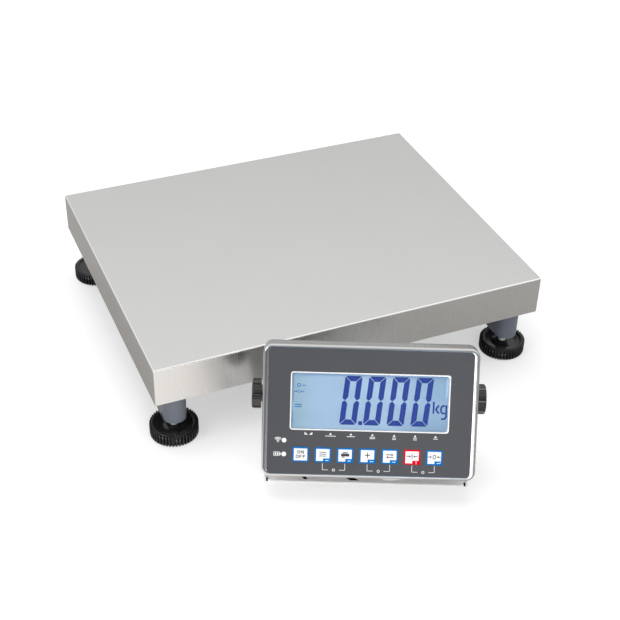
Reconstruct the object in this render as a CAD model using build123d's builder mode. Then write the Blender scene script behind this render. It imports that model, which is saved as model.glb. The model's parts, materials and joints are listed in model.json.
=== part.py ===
from build123d import *
import os
from math import cos, radians, sin

# Platform scale: a stainless weighing plate on a painted steel frame with one load cell,
# and a tilting indicator that stands in front of it on its own bracket.
# Millimetres. The origin is the centre of the weighing surface, +X right, +Y back, +Z up.

os.makedirs("parts", exist_ok=True)

# Weighing plate
plate_length = 500.0
plate_depth = 400.0
plate_sheet = 1.5
skirt_height = 50.4
plate_bend = 2.0
platform_height = 119.0

# Upper frame
seat_gap = 0.2
buffer_thickness = 4.8
buffer_radius = 14.0
buffer_spacing = 290.0
arm_width = 30.0
arm_height = 19.0
arm_wall = 2.0
arm_end_gap = 7.5
arm_inset = 28.0
end_cap_flange = 2.0
end_cap_plug = 12.0
upper_channel_width = 66.0
upper_channel_wall = 3.0

# Load cell
cell_length = 150.0
cell_width = 40.0
cell_height = 30.0
cell_bore_radius = 10.5
cell_bore_spacing = 34.0
cell_slot_height = 4.0
cell_bolt_inset = 20.0
cell_bolt_spacing = 22.0
cell_bolt_radius = 4.0
cell_bolt_engagement = 16.0
cell_bolt_head_radius = 6.5
cell_bolt_head_height = 8.0
cell_hex_size = 6.0
top_spacer_thickness = 5.5
base_spacer_thickness = 5.0
spacer_length = 40.0
thread_gap = 0.05

# Base frame
rail_width = 28.5
rail_wall = 2.5
base_height = 30.0
base_channel_width = 60.0
base_channel_wall = 4.0

# Legs
leg_width = 28.5
leg_flat_length = 58.0
leg_gusset_length = 22.0
leg_wall = 3.0
leg_floor = 4.0
leg_nose = 18.0
thread_boss_radius = 10.0
thread_boss_height = 20.0

# Levelling feet
foot_inset_x = 28.0
foot_inset_y = 26.0
stud_radius = 5.0
stud_exposed = 12.0
stud_length = 60.0
stud_seat = 8.5
disc_radius = 29.0
disc_height = 15.5
disc_teeth = 44
groove_depth = 2.4
groove_width = 2.3
groove_taper = 0.6
lip_radius = 25.4
lip_width = 2.6
dish_drop = 4.4
dish_slope = 5.0
disc_boss_radius = 9.0
disc_collar_radius = 6.6
disc_collar_height = 1.5
disc_collar_drop = 1.0
disc_rim_height = 11.6
disc_foot_chamfer = 1.5

# Overload stops
stop_bolt_radius = 4.0
stop_bolt_length = 22.0
stop_gap = 0.6
stop_head_size = 13.0
stop_head_height = 5.3
stop_spacing = 150.0
stop_nut_height = 5.0

# Spirit level and platform cable gland
level_radius = 10.0
level_height = 9.0
level_x = 110.0
level_tab = 24.0
level_tab_sheet = 3.0
level_window_radius = 7.0
level_window_depth = 4.5
platform_gland_x = -115.0
gland_thread_radius = 6.0
gland_hex_size = 16.0
gland_hex_height = 5.0
gland_dome_radius = 7.0
gland_dome_length = 12.0
gland_hole_radius = 2.6
gland_nut_height = 3.5

# Indicator stand
pivot_x = -27.4
pivot_y = -291.5
pivot_height = 87.3
stand_yaw = -23.8
head_tilt = 27.8
stand_width = 230.5
stand_sheet = 2.0
stand_front = 51.0
stand_back = 46.0
stand_lip = 6.0
stand_bend = 1.5
arm_eye_radius = 12.5
arm_foot_back = 38.0
lip_relief_width = 2.0
lip_relief_depth = 5.0
stand_corner = 6.0
stand_bolt_circle = 150.0
stand_bolt_hole_radius = 3.3
stand_port_radius = 30.0
stand_port_x = 28.0
stand_port_edge = 4.5
stand_slot_x = -12.0
stand_slot_width = 11.5
stand_small_slot_x = -68.0
stand_small_slot_width = 5.0
stand_slot_depth = 12.0
stand_slot_lean = 16.0
stand_slot_edge = 3.0
lip_blend = 8.0

# Indicator housing
head_overhang = 2.75
head_height = 148.4
head_corner = 10.0
head_edge = 3.2
front_depth = 24.5
housing_sheet = 1.5
face_sheet = 2.0
face_below_pivot = 83.35
pivot_depth = 45.0
gasket_thickness = 1.0
flange_sheet = 1.5
flange_height = 6.25
cover_corner = 12.0
cover_depth = 35.5
cover_chamfer = 9.0
cover_screw_radius = 1.5
cover_screw_head = 2.7
cover_screw_length = 10.0
cover_screw_span = 180.0
cover_screw_inset = 3.1
screw_pad_width = 12.0
screw_pad_depth = 12.0
screw_pad_height = 6.0

# Front overlay, display and keys
overlay_margin_x = 6.0
overlay_margin_y = 3.9
overlay_corner = 5.0
overlay_sheet = 0.5
overlay_recess = 0.6
fit_gap = 0.3
window_width = 174.4
window_height = 65.2
window_corner = 3.0
window_x = -0.3
window_y = 11.8
window_rebate = 1.6
lcd_margin = 4.0
lcd_thickness = 4.5
backlight_thickness = 4.0
board_thickness = 1.6
main_board_margin = 21.5
main_board_height = 130.0
standoff_radius = 3.0
standoff_inset = 3.6
standoff_length = 14.0
battery_width = 98.0
battery_height = 50.0
battery_thickness = 14.0
key_count = 7
key_pitch = 24.5
key_row_x = -1.3
key_row_y = -48.25
key_width = 17.9
key_height = 16.8
key_corner = 1.2
key_proud = 0.6
key_travel = 0.4
key_stem = 5.0
key_stem_hole = 7.0
key_board_height = 18.0
key_board_gap = 2.4
switch_size = 6.0
switch_height = 0.5
switch_gap = 0.05
lamp_x = -93.2
lamp_upper_y = -32.85
lamp_lower_y = -48.45
lamp_radius = 2.6

# Tilt clamp
friction_washer_radius = 11.0
friction_washer_thickness = 1.55
friction_washer_gap = 0.2
knob_washer_radius = 9.0
knob_washer_thickness = 1.0
clamp_gap = 0.1
bush_radius = 7.0
bush_length = 9.0
knob_stud_radius = 3.0
knob_stud_inside = 8.0
knob_stud_length = 24.0
knob_crown = 2.0
arm_bore_gap = 0.1
knob_radius = 17.0
knob_thickness = 10.0
knob_collar_radius = 9.5
knob_collar_length = 4.5
knob_lobes = 8
knob_scallop_radius = 3.6
knob_scallop_offset = 1.4

# Indicator cable glands
gland_count = 3
gland_pitch = 36.0
gland_row_y = -40.0


def finish(part, name):
    part.label = name
    export_step(part, f"parts/{name}.step")


def sides():
    return (("left", -1), ("right", 1))


def corners():
    return [(f"{row}_{side}", sx, sy) for row, sy in (("front", -1), ("back", 1)) for side, sx in sides()]


# Heights that the stack gives
floor_z = -platform_height
buffer_top = -plate_sheet - seat_gap
upper_top = buffer_top - buffer_thickness
upper_bottom = upper_top - arm_height
cell_top = upper_bottom - top_spacer_thickness
cell_bottom = cell_top - cell_height
base_bottom = cell_bottom - base_spacer_thickness - base_channel_wall
base_top = base_bottom + base_height
leg_bottom = floor_z + disc_height + stud_exposed
collar_top = disc_height - disc_collar_drop
arm_length = plate_depth - 2 * (plate_sheet + arm_end_gap + end_cap_flange)
foot_x = plate_length / 2 - foot_inset_x
foot_y = plate_depth / 2 - foot_inset_y
arm_x = plate_length / 2 - arm_inset
leg_outer = foot_y + leg_nose
leg_flat_end = leg_outer - leg_flat_length
leg_root = leg_flat_end - leg_gusset_length

# The plate is a tray: flat top, four skirts, tight bends
with BuildPart() as weighing_plate:
    with BuildSketch():
        Rectangle(plate_length, plate_depth)
    extrude(amount=-skirt_height)
    fillet(weighing_plate.edges().filter_by(Axis.Z), plate_bend)
    fillet(weighing_plate.faces().sort_by(Axis.Z)[-1].edges(), plate_bend)
    with BuildSketch(Plane.XY.offset(-plate_sheet)):
        Rectangle(plate_length - 2 * plate_sheet, plate_depth - 2 * plate_sheet)
    extrude(amount=-skirt_height, mode=Mode.SUBTRACT)
finish(weighing_plate.part, "weighing_plate")

with BuildPart() as plate_buffers:
    with BuildSketch(Plane.XY.offset(upper_top)):
        with GridLocations(2 * arm_x, buffer_spacing, 2, 2):
            Circle(buffer_radius)
    extrude(amount=buffer_thickness)
    chamfer(plate_buffers.faces().group_by(Axis.Z)[-1].edges(), buffer_thickness / 6)
finish(plate_buffers.part, "plate_buffers")

# Upper frame: an arm over each rail, joined by an upright channel over the load cell
for side, sx in sides():
    with BuildPart() as upper_arm:
        with BuildSketch(Plane.XZ.offset(-arm_length / 2)):
            with Locations((sx * arm_x, upper_top - arm_height / 2)):
                RectangleRounded(arm_width, arm_height, arm_wall)
                Rectangle(arm_width - 2 * arm_wall, arm_height - 2 * arm_wall, mode=Mode.SUBTRACT)
        extrude(amount=arm_length)
    finish(upper_arm.part, f"upper_arm_{side}")

with BuildPart() as arm_end_caps:
    for end in (-1, 1):
        cap_plane = Plane.XZ.offset(-end * arm_length / 2)
        with BuildSketch(cap_plane):
            with Locations(*[(sx * arm_x, upper_top - arm_height / 2) for _, sx in sides()]):
                RectangleRounded(arm_width, arm_height, arm_wall)
        extrude(amount=-end * end_cap_flange)
        with BuildSketch(cap_plane):
            with Locations(*[(sx * arm_x, upper_top - arm_height / 2) for _, sx in sides()]):
                Rectangle(
                    arm_width - 2 * arm_wall - 2 * thread_gap,
                    arm_height - 2 * arm_wall - 2 * thread_gap,
                )
        extrude(amount=end * end_cap_plug)
finish(arm_end_caps.part, "arm_end_caps")

upper_channel_length = 2 * (arm_x - arm_width / 2)
live_bolt_x = cell_length / 2 - cell_bolt_inset
with BuildPart() as upper_channel:
    with BuildSketch(Plane.YZ.offset(-upper_channel_length / 2)):
        with Locations((0, upper_top - arm_height / 2)):
            Rectangle(upper_channel_width, arm_height)
        with Locations((0, upper_top - arm_height / 2 + upper_channel_wall)):
            Rectangle(upper_channel_width - 2 * upper_channel_wall, arm_height, mode=Mode.SUBTRACT)
    extrude(amount=upper_channel_length)
    with Locations((live_bolt_x, 0, upper_bottom + upper_channel_wall)):
        with GridLocations(0, cell_bolt_spacing, 1, 2):
            Hole(cell_bolt_radius + thread_gap, depth=upper_channel_wall)
finish(upper_channel.part, "upper_channel")

# Single point load cell: a block with two joined cross bores that leave thin flexures
with BuildPart() as load_cell:
    with BuildSketch(Plane.XZ):
        with Locations((0, (cell_top + cell_bottom) / 2)):
            Rectangle(cell_length, cell_height)
            with GridLocations(cell_bore_spacing, 0, 2, 1):
                Circle(cell_bore_radius, mode=Mode.SUBTRACT)
            Rectangle(cell_bore_spacing, cell_slot_height, mode=Mode.SUBTRACT)
    extrude(amount=cell_width / 2, both=True)
    for end, level, depth_sign in ((1, cell_top, -1), (-1, cell_bottom, 1)):
        with BuildSketch(Plane.XY.offset(level)):
            with Locations((end * live_bolt_x, 0)):
                with GridLocations(0, cell_bolt_spacing, 1, 2):
                    Circle(cell_bolt_radius + thread_gap)
        extrude(amount=depth_sign * (cell_bolt_engagement + 2), mode=Mode.SUBTRACT)
finish(load_cell.part, "load_cell")

for name, end, top, thickness in (
    ("load_cell_top_spacer", 1, upper_bottom, top_spacer_thickness),
    ("load_cell_base_spacer", -1, cell_bottom, base_spacer_thickness),
):
    with BuildPart() as spacer:
        with BuildSketch(Plane.XY.offset(top)):
            with Locations((end * (cell_length - spacer_length) / 2, 0)):
                Rectangle(spacer_length, cell_width)
            with Locations((end * live_bolt_x, 0)):
                with GridLocations(0, cell_bolt_spacing, 1, 2):
                    Circle(cell_bolt_radius + thread_gap, mode=Mode.SUBTRACT)
        extrude(amount=-thickness)
    finish(spacer.part, name)

# Cap screws with hex sockets: from above at the cell's live end, from below at its fixed end
for name, end, seat, grip in (
    (
        "load_cell_top_bolts",
        1,
        upper_bottom + upper_channel_wall,
        upper_channel_wall + top_spacer_thickness,
    ),
    ("load_cell_base_bolts", -1, base_bottom, -base_channel_wall - base_spacer_thickness),
):
    with BuildPart() as cell_bolts:
        bolt_centres = [(end * live_bolt_x, y) for y in (-cell_bolt_spacing / 2, cell_bolt_spacing / 2)]
        with BuildSketch(Plane.XY.offset(seat)):
            with Locations(*bolt_centres):
                Circle(cell_bolt_head_radius)
        extrude(amount=end * cell_bolt_head_height)
        with BuildSketch(Plane.XY.offset(seat)):
            with Locations(*bolt_centres):
                Circle(cell_bolt_radius)
        extrude(amount=-grip - end * cell_bolt_engagement)
        with BuildSketch(Plane.XY.offset(seat + end * cell_bolt_head_height)):
            with Locations(*bolt_centres):
                RegularPolygon(cell_hex_size / 2, 6, major_radius=False)
        extrude(amount=-end * cell_bolt_head_height / 2, mode=Mode.SUBTRACT)
    finish(cell_bolts.part, name)

# Base frame: a rail on each side between two legs, joined by a channel that holds the cell
for side, sx in sides():
    with BuildPart() as base_rail:
        with BuildSketch(Plane.XZ.offset(-leg_root)):
            with Locations((sx * foot_x, base_bottom + base_height / 2)):
                RectangleRounded(rail_width, base_height, rail_wall)
                Rectangle(rail_width - 2 * rail_wall, base_height - 2 * rail_wall, mode=Mode.SUBTRACT)
        extrude(amount=2 * leg_root)
        with Locations((sx * foot_x, 0, base_top)):
            with GridLocations(0, stop_spacing, 1, 2):
                Hole(stop_bolt_radius + thread_gap, depth=2 * rail_wall)
    finish(base_rail.part, f"base_rail_{side}")

base_channel_length = 2 * (foot_x - rail_width / 2)
gland_z = base_bottom + base_height / 2
with BuildPart() as base_channel:
    with BuildSketch(Plane.YZ.offset(-base_channel_length / 2)):
        with Locations((0, base_bottom + base_height / 2)):
            Rectangle(base_channel_width, base_height)
        with Locations((0, base_bottom + base_height / 2 + base_channel_wall)):
            Rectangle(base_channel_width - 2 * base_channel_wall, base_height, mode=Mode.SUBTRACT)
    extrude(amount=base_channel_length)
    with BuildSketch(Plane.XY.offset(base_bottom)):
        with Locations((-live_bolt_x, 0)):
            with GridLocations(0, cell_bolt_spacing, 1, 2):
                Circle(cell_bolt_radius + thread_gap)
    extrude(amount=base_channel_wall, mode=Mode.SUBTRACT)
    # Hole for the cable gland in the back wall, tab for the spirit level on the front wall
    with BuildSketch(Plane.XZ.offset(-base_channel_width / 2)):
        with Locations((platform_gland_x, gland_z)):
            Circle(gland_thread_radius + thread_gap)
    extrude(amount=base_channel_wall, mode=Mode.SUBTRACT)
    with BuildSketch(Plane.XY.offset(base_top)):
        with Locations((level_x, -(base_channel_width + level_tab) / 2)):
            Rectangle(level_tab, level_tab)
    extrude(amount=-level_tab_sheet)
finish(base_channel.part, "base_channel")

# Legs: hollow, nosed towards the plate's edge, with a gusset that runs up into the rail


def leg_block(sx, sy, wall, floor):
    with BuildPart() as block:
        with BuildSketch(Plane.YZ.offset(sx * foot_x)):
            with BuildLine():
                Polyline(
                    (sy * (leg_outer - wall), base_top),
                    (sy * (leg_outer - wall), leg_bottom + floor),
                    (sy * (leg_flat_end + wall), leg_bottom + floor),
                    (sy * (leg_root + wall), base_bottom + floor),
                    (sy * (leg_root + wall), base_top),
                    close=True,
                )
            make_face()
        extrude(amount=leg_width / 2 - wall, both=True)
        nose = block.edges().filter_by(Axis.Z).group_by(Axis.Y)[0 if sy < 0 else -1]
        fillet(nose, leg_width / 2 - wall - fit_gap)
    return block.part


for corner, sx, sy in corners():
    boss_top = leg_bottom + leg_floor + thread_boss_height
    with BuildPart() as leg:
        add(leg_block(sx, sy, 0, 0))
        add(leg_block(sx, sy, leg_wall, leg_floor), mode=Mode.SUBTRACT)
        with BuildSketch(Plane.XY.offset(leg_bottom)):
            with Locations((sx * foot_x, sy * foot_y)):
                Circle(thread_boss_radius)
        extrude(amount=boss_top - leg_bottom)
        with Locations((sx * foot_x, sy * foot_y, boss_top)):
            Hole(stud_radius + thread_gap, depth=boss_top - leg_bottom)
    finish(leg.part, f"leg_{corner}")

# Levelling foot: a serrated disc with a raised lip, a dish and a boss, on a threaded stud
for corner, sx, sy in corners():
    foot_plane = Plane(origin=(sx * foot_x, sy * foot_y, floor_z))
    with BuildPart() as foot_disc:
        with BuildSketch(Plane(origin=foot_plane.origin, x_dir=(1, 0, 0), z_dir=(0, -1, 0))):
            with BuildLine():
                Polyline(
                    (0, 0),
                    (disc_radius - disc_foot_chamfer, 0),
                    (disc_radius, disc_foot_chamfer),
                    (disc_radius, disc_rim_height),
                    (lip_radius + lip_width / 2, disc_height - lip_width / 2),
                )
                ThreePointArc(
                    (lip_radius + lip_width / 2, disc_height - lip_width / 2),
                    (lip_radius, disc_height),
                    (lip_radius - lip_width / 2, disc_height - lip_width / 2),
                )
                Polyline(
                    (lip_radius - lip_width / 2, disc_height - lip_width / 2),
                    (disc_boss_radius + dish_slope, disc_height - dish_drop),
                    (disc_boss_radius, collar_top - disc_collar_height),
                    (disc_collar_radius, collar_top - disc_collar_height),
                    (disc_collar_radius, collar_top),
                    (0, collar_top),
                    (0, 0),
                )
            make_face()
        revolve(axis=Axis(foot_plane.origin, (0, 0, 1)))
        with BuildSketch(foot_plane):
            with PolarLocations(disc_radius - groove_depth, disc_teeth):
                Polygon(
                    (0, groove_width / 2 - groove_taper),
                    (2 * groove_depth, groove_width / 2 + groove_taper),
                    (2 * groove_depth, -groove_width / 2 - groove_taper),
                    (0, groove_taper - groove_width / 2),
                    align=None,
                )
        extrude(amount=disc_height, mode=Mode.SUBTRACT)
        with BuildSketch(foot_plane.offset(disc_height)):
            Circle(stud_radius + thread_gap)
        extrude(amount=-stud_seat, mode=Mode.SUBTRACT)
    finish(foot_disc.part, f"foot_disc_{corner}")

    with BuildPart() as foot_stud:
        with BuildSketch(foot_plane.offset(disc_height - stud_seat)):
            Circle(stud_radius)
        extrude(amount=stud_length)
        chamfer(foot_stud.faces().sort_by(Axis.Z)[-1].edges(), stud_radius / 5)
    finish(foot_stud.part, f"foot_stud_{corner}")

# Overload stops: a hex bolt in each rail, its head just under the arm, with a locking nut
stop_top = upper_bottom - stop_gap
with BuildPart() as overload_stop_bolts:
    with BuildSketch(Plane.XY.offset(stop_top)):
        with GridLocations(2 * foot_x, stop_spacing, 2, 2):
            RegularPolygon(stop_head_size / 2, 6, major_radius=False)
    extrude(amount=-stop_head_height)
    with BuildSketch(Plane.XY.offset(stop_top - stop_head_height)):
        with GridLocations(2 * foot_x, stop_spacing, 2, 2):
            Circle(stop_bolt_radius)
    extrude(amount=-stop_bolt_length)
finish(overload_stop_bolts.part, "overload_stop_bolts")

with BuildPart() as overload_stop_nuts:
    with BuildSketch(Plane.XY.offset(base_top)):
        with GridLocations(2 * foot_x, stop_spacing, 2, 2):
            RegularPolygon(stop_head_size / 2, 6, major_radius=False)
            Circle(stop_bolt_radius + thread_gap, mode=Mode.SUBTRACT)
    extrude(amount=stop_nut_height)
finish(overload_stop_nuts.part, "overload_stop_nuts")

# Spirit level on its tab
level_plane = Plane(origin=(level_x, -(base_channel_width + level_tab) / 2, base_top))
with BuildPart() as level_body:
    with BuildSketch(level_plane):
        Circle(level_radius)
    extrude(amount=level_height)
    chamfer(level_body.faces().sort_by(Axis.Z)[-1].edges(), 1)
    with BuildSketch(level_plane.offset(level_height)):
        Circle(level_window_radius + thread_gap)
    extrude(amount=-level_window_depth, mode=Mode.SUBTRACT)
finish(level_body.part, "level_body")

with BuildPart() as level_vial:
    with BuildSketch(level_plane.offset(level_height - level_window_depth)):
        Circle(level_window_radius)
    extrude(amount=level_window_depth)
finish(level_vial.part, "level_vial")


def cable_gland(plane, wall):
    # Hex body and dome outside the wall, thread through it, lock nut inside
    with BuildPart() as gland:
        with BuildSketch(plane):
            RegularPolygon(gland_hex_size / 2, 6, major_radius=False)
        extrude(amount=gland_hex_height)
        with BuildSketch(plane.offset(gland_hex_height)):
            Circle(gland_dome_radius)
        extrude(amount=gland_dome_length)
        fillet(gland.faces().sort_by(Axis(plane.origin, plane.z_dir))[-1].edges(), gland_dome_radius / 2.5)
        with BuildSketch(plane):
            Circle(gland_thread_radius)
        extrude(amount=-wall)
        with BuildSketch(plane.offset(-wall)):
            RegularPolygon(gland_hex_size / 2, 6, major_radius=False)
        extrude(amount=-gland_nut_height)
        with BuildSketch(plane.offset(gland_hex_height + gland_dome_length)):
            Circle(gland_hole_radius)
        extrude(amount=-gland_hex_height - gland_dome_length - wall - gland_nut_height, mode=Mode.SUBTRACT)
    return gland.part


finish(
    cable_gland(
        Plane(origin=(platform_gland_x, base_channel_width / 2, gland_z), x_dir=(0, 0, 1), z_dir=(0, 1, 0)),
        base_channel_wall,
    ),
    "platform_cable_gland",
)

# Indicator frames: the stand's plane is level, the head's plane leans back about the pivot
yaw = radians(stand_yaw)
tilt = radians(head_tilt)
pivot_point = (pivot_x, pivot_y, floor_z + pivot_height)
across = (cos(yaw), sin(yaw), 0)
towards_front = (sin(yaw), -cos(yaw), 0)
face_normal = (cos(tilt) * sin(yaw), -cos(tilt) * cos(yaw), sin(tilt))
stand_floor = Plane(origin=(pivot_x, pivot_y, floor_z), x_dir=across, z_dir=(0, 0, 1))
head_plane = Plane(origin=pivot_point, x_dir=across, z_dir=face_normal)
head_width = stand_width + 2 * head_overhang
cover_width = stand_width - 2 * (stand_sheet + friction_washer_thickness + friction_washer_gap)
cover_height = head_height - 2 * flange_height
overlay_width = head_width - 2 * overlay_margin_x
overlay_height = head_height - 2 * overlay_margin_y
lcd_width = window_width + 2 * lcd_margin
lcd_height = window_height + 2 * lcd_margin
main_board_width = head_width - 2 * (housing_sheet + main_board_margin)
face_centre_y = head_height / 2 - face_below_pivot
face_plane = Plane(
    origin=head_plane.from_local_coords((0, face_centre_y, pivot_depth)), x_dir=across, z_dir=face_normal
)

back = (-towards_front[0], -towards_front[1], 0)


def beside(plane, offset_x):
    # Plane square to the pivot axis, its x to the back (or into the head), its y up
    origin = plane.from_local_coords((offset_x, 0, 0))
    x_dir = back if plane is stand_floor else tuple(-c for c in face_normal)
    return Plane(origin=origin, x_dir=x_dir, z_dir=across)


# Stand: a bent sheet with a low lip on each side that rises into an arm with a rounded eye
with BuildPart() as stand_bracket:
    with BuildSketch(stand_floor):
        with Locations((0, (stand_back - stand_front) / 2)):
            RectangleRounded(
                stand_width - 2 * (stand_sheet + lip_relief_width), stand_front + stand_back, stand_corner
            )
            Rectangle(stand_width, stand_front + stand_back - 2 * lip_relief_depth)
        with Locations((stand_port_x, -stand_front + stand_port_edge + stand_port_radius)):
            Circle(stand_port_radius, mode=Mode.SUBTRACT)
        for slot_x, slot_width in (
            (stand_slot_x, stand_slot_width),
            (stand_small_slot_x, stand_small_slot_width),
        ):
            lean = stand_slot_lean * slot_width / stand_slot_width
            slot_front = -stand_front + stand_slot_edge
            with BuildLine():
                Polyline(
                    (slot_x - slot_width / 2, slot_front),
                    (slot_x + slot_width / 2, slot_front),
                    (slot_x + slot_width / 2 - lean, slot_front + stand_slot_depth),
                    (slot_x - slot_width / 2 - lean, slot_front + stand_slot_depth),
                    close=True,
                )
            make_face(mode=Mode.SUBTRACT)
        with PolarLocations(stand_bolt_circle / 2, 2):
            Circle(stand_bolt_hole_radius, mode=Mode.SUBTRACT)
    extrude(amount=stand_sheet)
    for offset_x in (-stand_width / 2, stand_width / 2 - stand_sheet):
        with BuildSketch(beside(stand_floor, offset_x)):
            with BuildLine():
                Polyline(
                    (arm_eye_radius, pivot_height),
                    (arm_foot_back, stand_lip),
                    (stand_back, stand_lip),
                    (stand_back, 0),
                    (-stand_front, 0),
                    (-stand_front, stand_lip),
                    (-arm_eye_radius - lip_blend, stand_lip),
                )
                RadiusArc(
                    (-arm_eye_radius - lip_blend, stand_lip),
                    (-arm_eye_radius, stand_lip + lip_blend),
                    -lip_blend,
                )
                Line((-arm_eye_radius, stand_lip + lip_blend), (-arm_eye_radius, pivot_height))
                ThreePointArc(
                    (-arm_eye_radius, pivot_height),
                    (0, pivot_height + arm_eye_radius),
                    (arm_eye_radius, pivot_height),
                )
            make_face()
            with Locations((0, pivot_height)):
                Circle(knob_stud_radius + arm_bore_gap, mode=Mode.SUBTRACT)
        extrude(amount=stand_sheet)
    for _, sx in sides():
        bend = stand_floor.from_local_coords((sx * stand_width / 2, 0, 0))
        fillet(stand_bracket.edges().sort_by_distance(bend)[0], stand_bend)
finish(stand_bracket.part, "stand_bracket")

# Front shell: deep rounded tray with a full edge, a recess for the overlay and its cut-outs
key_centres = [(key_row_x + (i - (key_count - 1) / 2) * key_pitch, key_row_y) for i in range(key_count)]
lamp_centres = [(lamp_x, lamp_upper_y), (lamp_x, lamp_lower_y)]
screw_y = head_height / 2 - cover_screw_inset
screw_columns = (-cover_screw_span / 2, 0, cover_screw_span / 2)
screw_centres = [(x, y) for x in screw_columns for y in (-screw_y, screw_y)]
with BuildPart() as front_shell:
    with BuildSketch(face_plane):
        RectangleRounded(head_width, head_height, head_corner)
    extrude(amount=-front_depth)
    fillet(front_shell.faces().sort_by(Axis(face_plane.origin, face_normal))[-1].edges(), head_edge)
    with BuildSketch(face_plane.offset(-face_sheet)):
        RectangleRounded(
            head_width - 2 * housing_sheet, head_height - 2 * housing_sheet, head_corner - housing_sheet
        )
    extrude(amount=-front_depth, mode=Mode.SUBTRACT)
    with BuildSketch(face_plane):
        RectangleRounded(
            overlay_width + 2 * fit_gap, overlay_height + 2 * fit_gap, overlay_corner + fit_gap
        )
    extrude(amount=-overlay_recess, mode=Mode.SUBTRACT)
    with BuildSketch(face_plane):
        with Locations((window_x, window_y)):
            RectangleRounded(
                window_width - 2 * window_rebate, window_height - 2 * window_rebate, window_corner
            )
        with Locations(*key_centres):
            Rectangle(key_stem_hole, key_stem_hole)
        with Locations(*lamp_centres):
            Circle(lamp_radius + thread_gap)
    extrude(amount=-face_sheet, mode=Mode.SUBTRACT)
    with BuildSketch(face_plane.offset(-front_depth)):
        for sy in (-1, 1):
            with Locations((0, sy * (head_height / 2 - housing_sheet - screw_pad_height / 2))):
                with GridLocations(cover_screw_span / 2, 0, 3, 1):
                    Rectangle(screw_pad_width, screw_pad_height)
        with Locations(*screw_centres):
            Circle(cover_screw_radius + thread_gap, mode=Mode.SUBTRACT)
    extrude(amount=screw_pad_depth)
finish(front_shell.part, "front_shell")

cover_front = -front_depth - gasket_thickness
with BuildPart() as housing_gasket:
    with BuildSketch(face_plane.offset(-front_depth)):
        RectangleRounded(head_width, head_height, head_corner)
        RectangleRounded(
            cover_width - 2 * housing_sheet,
            cover_height - 2 * housing_sheet,
            cover_corner - housing_sheet,
            mode=Mode.SUBTRACT,
        )
        with Locations(*screw_centres):
            Circle(cover_screw_radius + thread_gap, mode=Mode.SUBTRACT)
    extrude(amount=-gasket_thickness)
finish(housing_gasket.part, "housing_gasket")

# Rear cover: flange with a narrower tub behind it, chamfered at the back
cover_back = face_plane.offset(cover_front - cover_depth)
with BuildPart() as rear_cover:
    with BuildSketch(face_plane.offset(cover_front)):
        RectangleRounded(cover_width, cover_height, cover_corner)
    extrude(amount=-cover_depth)
    chamfer(rear_cover.faces().sort_by(Axis(face_plane.origin, face_normal))[0].edges(), cover_chamfer)
    with BuildSketch(face_plane.offset(cover_front)):
        RectangleRounded(head_width, head_height, head_corner)
        with Locations(*screw_centres):
            Circle(cover_screw_radius + thread_gap, mode=Mode.SUBTRACT)
    extrude(amount=-flange_sheet)
    with BuildPart(mode=Mode.SUBTRACT) as cover_hollow:
        with BuildSketch(face_plane.offset(cover_front)):
            RectangleRounded(
                cover_width - 2 * housing_sheet,
                cover_height - 2 * housing_sheet,
                cover_corner - housing_sheet,
            )
        extrude(amount=-cover_depth + housing_sheet)
        chamfer(
            cover_hollow.faces().sort_by(Axis(face_plane.origin, face_normal))[0].edges(),
            cover_chamfer - housing_sheet / 2,
        )
    with BuildSketch(beside(head_plane, 0)):
        Circle(bush_radius)
    extrude(amount=cover_width / 2 + 1, both=True, mode=Mode.SUBTRACT)
    with BuildSketch(cover_back):
        with Locations((0, gland_row_y)):
            with GridLocations(gland_pitch, 0, gland_count, 1):
                Circle(gland_thread_radius + thread_gap)
    extrude(amount=housing_sheet, mode=Mode.SUBTRACT)
finish(rear_cover.part, "rear_cover")

with BuildPart() as cover_screws:
    with BuildSketch(face_plane.offset(cover_front - flange_sheet)):
        with Locations(*screw_centres):
            Circle(cover_screw_head)
    extrude(amount=-cover_screw_radius)
    chamfer(
        cover_screws.faces().sort_by(Axis(face_plane.origin, face_normal))[: len(screw_centres)].edges(),
        cover_screw_radius / 3,
    )
    with BuildSketch(face_plane.offset(cover_front - flange_sheet)):
        with Locations(*screw_centres):
            Circle(cover_screw_radius)
    extrude(amount=cover_screw_length)
finish(cover_screws.part, "cover_screws")

with BuildPart() as cable_glands:
    for i in range(gland_count):
        gland_x = (i - (gland_count - 1) / 2) * gland_pitch
        gland_origin = cover_back.from_local_coords((gland_x, gland_row_y, 0))
        add(
            cable_gland(
                Plane(origin=gland_origin, x_dir=across, z_dir=tuple(-c for c in face_normal)),
                housing_sheet,
            )
        )
finish(cable_glands.part, "cable_glands")

# Overlay film, window pane with its rebate, LCD and backlight behind it
with BuildPart() as front_overlay:
    with BuildSketch(face_plane.offset(-overlay_recess)):
        RectangleRounded(overlay_width, overlay_height, overlay_corner)
        with Locations((window_x, window_y)):
            RectangleRounded(
                window_width + 2 * thread_gap,
                window_height + 2 * thread_gap,
                window_corner,
                mode=Mode.SUBTRACT,
            )
        with Locations(*key_centres):
            RectangleRounded(
                key_width + 2 * fit_gap,
                key_height + 2 * fit_gap,
                key_corner,
                mode=Mode.SUBTRACT,
            )
        with Locations(*lamp_centres):
            Circle(lamp_radius + thread_gap, mode=Mode.SUBTRACT)
    extrude(amount=overlay_sheet)
finish(front_overlay.part, "front_overlay")

with BuildPart() as display_window:
    with BuildSketch(face_plane.offset(-overlay_recess)):
        with Locations((window_x, window_y)):
            RectangleRounded(window_width, window_height, window_corner)
    extrude(amount=overlay_sheet)
    with BuildSketch(face_plane.offset(-overlay_recess)):
        with Locations((window_x, window_y)):
            plug_inset = 2 * window_rebate + 2 * thread_gap
            RectangleRounded(window_width - plug_inset, window_height - plug_inset, window_corner)
    extrude(amount=overlay_recess - face_sheet)
finish(display_window.part, "display_window")

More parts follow.
